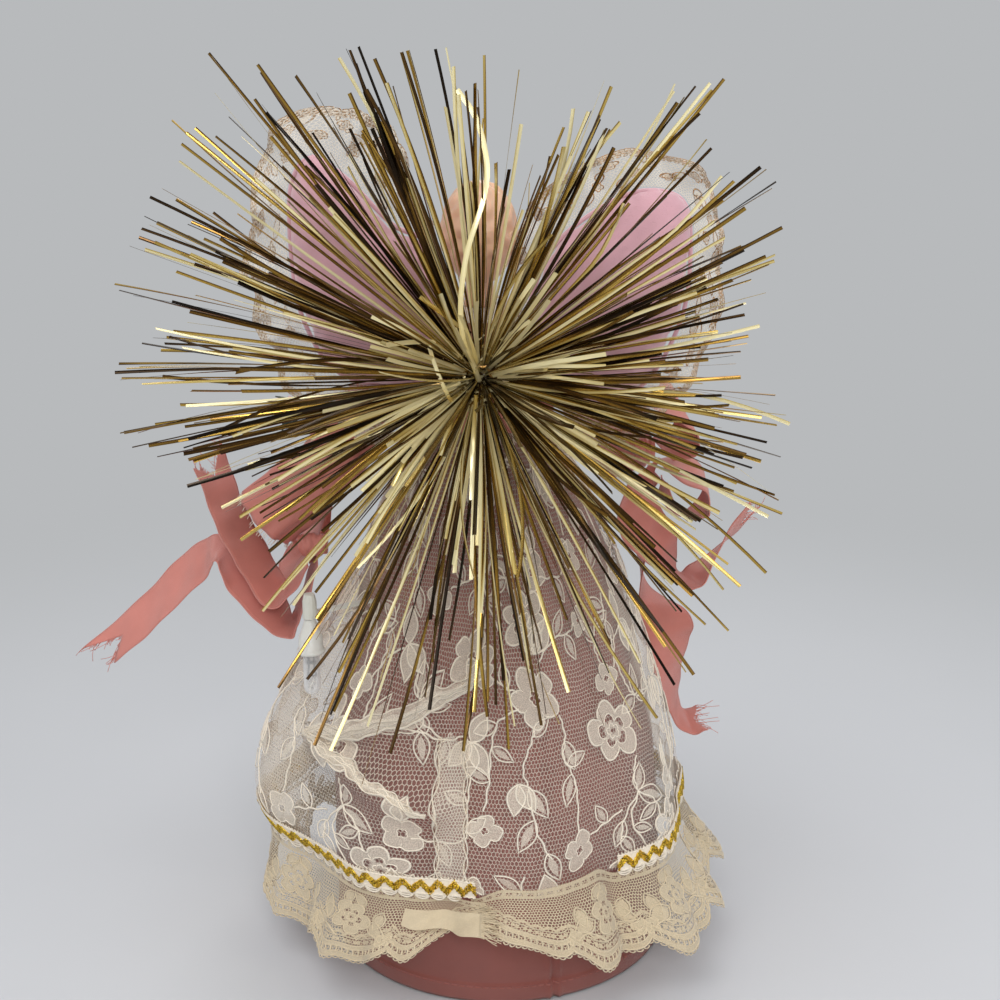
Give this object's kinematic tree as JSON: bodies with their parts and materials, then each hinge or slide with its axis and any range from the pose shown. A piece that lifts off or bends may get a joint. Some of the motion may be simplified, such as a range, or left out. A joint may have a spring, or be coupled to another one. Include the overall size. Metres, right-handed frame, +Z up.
{
  "type": "angel tree topper",
  "caption": "Angel figure tree topper: card cone in satin and lace skirts, padded lace-edged wings, gold tinsel burst on the back, ribbon bows, a rose spray and a clip-on mini lamp.",
  "frame": {"origin": "centre of the card cone's open mouth, in the plane it stands on", "axes": "+Z up through the figure, +Y the way the angel faces, +X towards the angel's right; the tinsel burst fans out towards -Y"},
  "size_m": [0.2402, 0.2299, 0.3023],
  "materials": {
    "card": "rolled grey card",
    "foam": "matt foam",
    "satin": "salmon satin weave",
    "ribbon": "coral satin ribbon with bound edges",
    "lace": "cream floral lace on hexagonal net",
    "gold_braid": "metallic gold zigzag braid",
    "tinsel": "metallised gold film strips",
    "flannel": "soft pink brushed cloth",
    "skin": "painted peach vinyl",
    "leaf": "dark green pressed cloth",
    "petal": "pale pink cloth",
    "husk": "translucent white plastic",
    "holder": "off-white plastic",
    "lamp_glass": "clear glass",
    "wire": "drawn wire"
  },
  "bodies": {
    "figure": {"inner_cone": "card", "torso": "foam", "satin_skirt": "satin", "lace_overskirt": "lace", "gold_braid": "gold_braid", "hem_frill": "lace", "waist_ribbon": "ribbon", "bodice": "satin", "lace_collar": "lace", "left_sleeve": "satin", "left_arm": "skin", "right_sleeve": "satin", "right_arm": "skin", "left_wing_pad": "flannel", "left_wing_frill": "lace", "right_wing_pad": "flannel", "right_wing_frill": "lace", "burst_strands_1": "tinsel", "burst_strands_2": "tinsel", "burst_strands_3": "tinsel", "burst_strands_4": "tinsel", "burst_stem": "wire", "left_bow_long_tail": "ribbon", "left_bow_short_tail": "ribbon", "left_bow_loop": "ribbon", "left_bow_knot": "ribbon", "right_bow_top_loop": "ribbon", "right_bow_ring_loop": "ribbon", "right_bow_curled_tail": "ribbon", "right_bow_hanging_tail": "ribbon", "right_bow_knot": "ribbon", "rosebud": "petal", "rose_leaves": "leaf", "lampholder": "holder"},
    "head": {"head": "skin"},
    "lamp": {"lamp_husk": "husk", "lamp_glass": "lamp_glass", "lamp_leads": "wire"}
  },
  "joints": [
    {"name": "head_turn", "type": "hinge", "parent": "figure", "child": "head", "pos_m": [-0.00666, 0, 0.222], "axis": [0, 0, 1], "range_deg": [-20, 76]},
    {"name": "lamp_pull", "type": "slide", "parent": "figure", "child": "lamp", "axis": [0, 0, -1], "range_m": [0, 0.007]}
  ]
}
